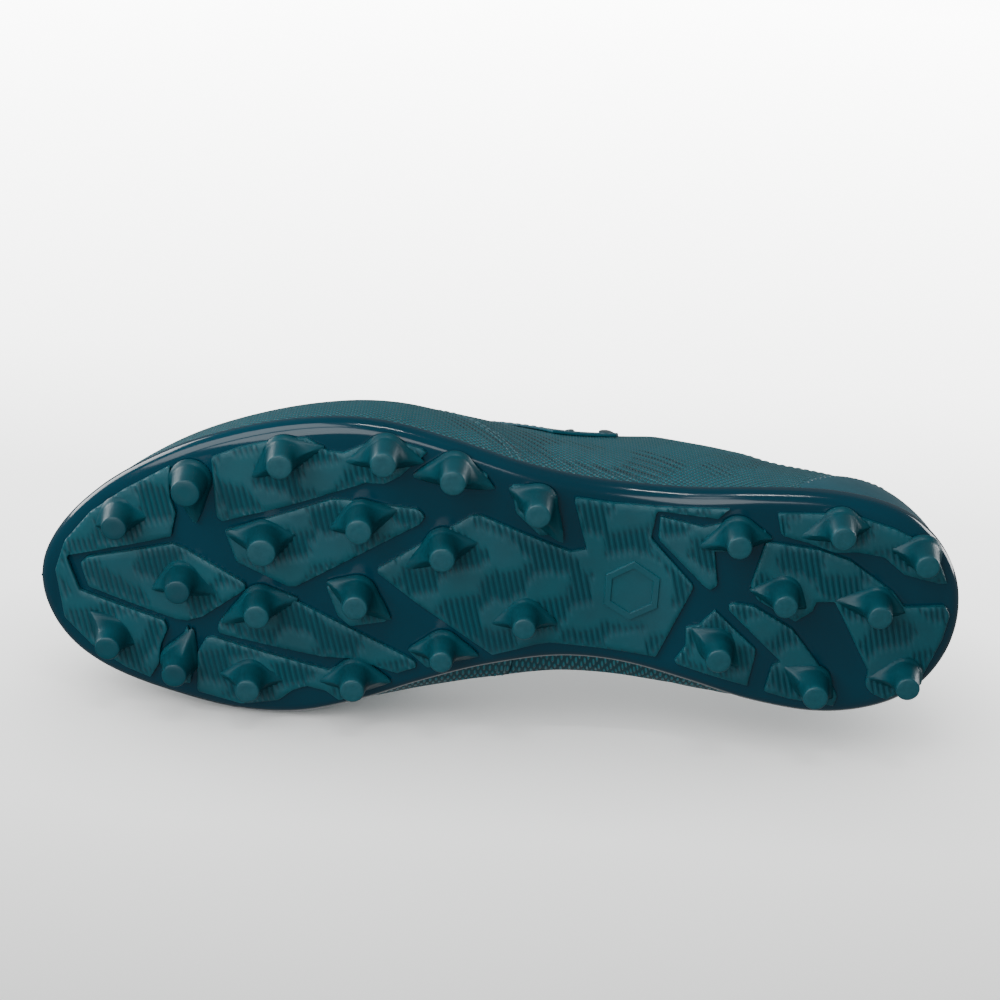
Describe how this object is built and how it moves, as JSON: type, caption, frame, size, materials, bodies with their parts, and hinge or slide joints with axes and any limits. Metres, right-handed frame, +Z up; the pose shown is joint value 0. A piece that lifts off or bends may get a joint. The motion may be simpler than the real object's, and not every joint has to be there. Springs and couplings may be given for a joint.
{
  "type": "soccer cleat",
  "caption": "Low-cut left soccer cleat for firm ground: glossy moulded plate with ribbed tread islands and round winged studs under a thin laced synthetic upper.",
  "frame": {"origin": "on the ground under the middle of the shoe, where the stud tips rest", "axes": "+Z up, toe towards -X, outer (lateral) side towards -Y"},
  "size_m": [0.2926, 0.1032, 0.0985],
  "materials": {
    "plate_tpu": "glossy moulded TPU, dark teal",
    "tread_tpu": "matte finely ribbed TPU, teal",
    "upper_synthetic": "coated synthetic with fine raised dots, teal",
    "overlay_film": "satin film overlay, teal",
    "webbing": "woven webbing",
    "lace_cord": "braided lace",
    "tongue_textile": "padded knit",
    "collar_textile": "brushed knit over foam",
    "lining_textile": "woven lining",
    "backing_textile": "non-woven backing",
    "stiffener": "thermoplastic sheet",
    "board": "fibre board",
    "shank_fibre": "glass-filled nylon",
    "filler_felt": "felt",
    "foam": "EVA foam"
  },
  "bodies": {
    "shoe": {"backing_lateral": "backing_textile", "backing_medial": "backing_textile", "bottom_filler": "filler_felt", "collar_padding": "collar_textile", "eyestay": "overlay_film", "heel_counter": "stiffener", "heel_loop": "webbing", "heel_overlay": "overlay_film", "insole_board": "board", "lace": "lace_cord", "outsole_plate": "plate_tpu", "quarter_lateral": "upper_synthetic", "quarter_lining": "lining_textile", "quarter_medial": "upper_synthetic", "shank": "shank_fibre", "sockliner": "foam", "sockliner_cover": "lining_textile", "toe_puff": "stiffener", "tread_arch_pad": "tread_tpu", "tread_ball_centre": "tread_tpu", "tread_ball_edge": "tread_tpu", "tread_ball_lateral": "tread_tpu", "tread_ball_medial": "tread_tpu", "tread_ball_pad": "tread_tpu", "tread_heel_centre": "tread_tpu", "tread_heel_front": "tread_tpu", "tread_heel_inner": "tread_tpu", "tread_heel_lateral": "tread_tpu", "tread_heel_medial": "tread_tpu", "tread_medial_star_pad": "tread_tpu", "tread_midfoot": "tread_tpu", "tread_star_lateral": "tread_tpu", "tread_toe": "tread_tpu", "tread_toe_centre": "tread_tpu", "tread_waist_medial": "tread_tpu", "tread_waist_pad": "tread_tpu", "vamp": "upper_synthetic", "vamp_lining": "lining_textile"},
    "tongue": {"tongue": "tongue_textile", "tongue_lining": "lining_textile"}
  },
  "joints": [
    {"name": "tongue_hinge", "type": "hinge", "parent": "shoe", "child": "tongue", "pos_m": [-0.0485, -0.0017, 0.0618], "axis": [0, 1, 0], "range_deg": [0, 12], "stiffness_Nm_per_rad": 0.15, "springref_deg": -5.73}
  ]
}
